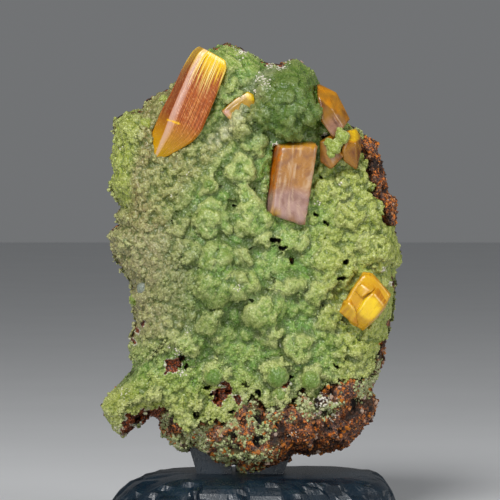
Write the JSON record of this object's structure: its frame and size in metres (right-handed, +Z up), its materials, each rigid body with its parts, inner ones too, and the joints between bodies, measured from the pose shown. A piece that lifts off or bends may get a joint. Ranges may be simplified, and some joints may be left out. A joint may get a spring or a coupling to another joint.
{
  "type": "mineral specimen on stand",
  "caption": "Orange wulfenite crystals on a green botryoidal mimetite crust over brown limonite, standing upright on a dark acrylic stand with fitted posts.",
  "frame": {"origin": "middle of the stand's flat underside", "axes": "+Z up, -Y towards the viewer of the green crust, +X to that viewer's right"},
  "size_m": [0.0527, 0.0364, 0.0843],
  "materials": {
    "mimetite": "waxy, fine-grained botryoidal mimetite",
    "limonite": "rough earthy limonite",
    "wulfenite": "translucent orange, striated along its length",
    "stand_acrylic": "dark slate, knapped edges",
    "smoky_acrylic": "clear with a smoky tint"
  },
  "bodies": {
    "root": {"mimetite_crust": "mimetite", "limonite_matrix": "limonite", "wulfenite_upper_left": "wulfenite", "wulfenite_upper_small": "wulfenite", "wulfenite_centre": "wulfenite", "wulfenite_upper_right": "wulfenite", "wulfenite_lower_right": "wulfenite", "stand_base": "stand_acrylic", "stand_post_left": "stand_acrylic", "stand_post_right": "stand_acrylic", "stand_pane_middle": "smoky_acrylic"}
  },
  "joints": []
}
